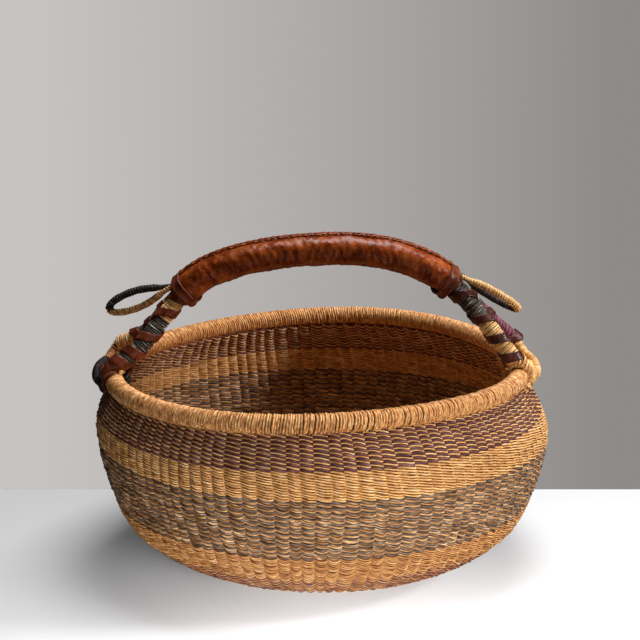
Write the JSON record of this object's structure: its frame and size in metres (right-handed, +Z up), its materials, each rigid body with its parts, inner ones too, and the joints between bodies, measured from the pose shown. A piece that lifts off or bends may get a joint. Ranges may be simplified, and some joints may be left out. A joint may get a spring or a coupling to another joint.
{
  "type": "woven basket",
  "caption": "Round twined straw basket with colour bands, a straw-wrapped rolled rim, an arched two-strand handle bound in leather, and a small cord loop at each end of the grip.",
  "frame": {"origin": "centre of the flat base, on the floor", "axes": "+X runs to the right along the handle, -Y is the front of the basket, +Z is up"},
  "size_m": [0.4345, 0.4248, 0.3147],
  "materials": {
    "natural_straw": "matte",
    "purple_straw": "matte",
    "grey_straw": "matte",
    "dark_straw": "matte",
    "brown_leather": "satin"
  },
  "bodies": {
    "basket": {"stakes": "natural_straw", "base_mat": "natural_straw", "foot_band": "purple_straw", "lower_plain_band": "natural_straw", "grey_band": "grey_straw", "upper_plain_band": "natural_straw", "purple_band": "purple_straw", "rim_core": "natural_straw", "rim_wrap": "natural_straw", "near_strand_core": "natural_straw", "left_near_leg_upper_straw": "natural_straw", "left_near_leg_lower_straw": "grey_straw", "left_near_leg_strap": "brown_leather", "right_near_leg_upper_straw": "grey_straw", "right_near_leg_lower_straw": "natural_straw", "right_near_leg_strap": "brown_leather", "far_strand_core": "natural_straw", "left_far_leg_upper_straw": "grey_straw", "left_far_leg_lower_straw": "natural_straw", "left_far_leg_strap": "brown_leather", "right_far_leg_upper_straw": "grey_straw", "right_far_leg_lower_straw": "purple_straw", "right_far_leg_strap": "brown_leather", "grip_leather": "brown_leather", "seam_lace": "brown_leather", "left_collar": "brown_leather", "right_collar": "brown_leather", "left_near_lashing": "brown_leather", "left_far_lashing": "dark_straw", "left_loop_root": "dark_straw", "right_near_lashing": "natural_straw", "right_far_lashing": "natural_straw", "right_loop_root": "dark_straw"},
    "left_loop": {"left_loop_dark": "dark_straw", "left_loop_natural": "natural_straw"},
    "right_loop": {"right_loop_natural": "natural_straw", "right_loop_dark": "dark_straw"}
  },
  "joints": [
    {"name": "left_loop_hinge", "type": "hinge", "parent": "basket", "child": "left_loop", "pos_m": [-0.14509, 0, 0.26181], "axis": [0, 1, 0], "range_deg": [-8, 40]},
    {"name": "right_loop_hinge", "type": "hinge", "parent": "basket", "child": "right_loop", "pos_m": [0.13124, 0, 0.27195], "axis": [0, -1, 0], "range_deg": [-8, 40]}
  ]
}
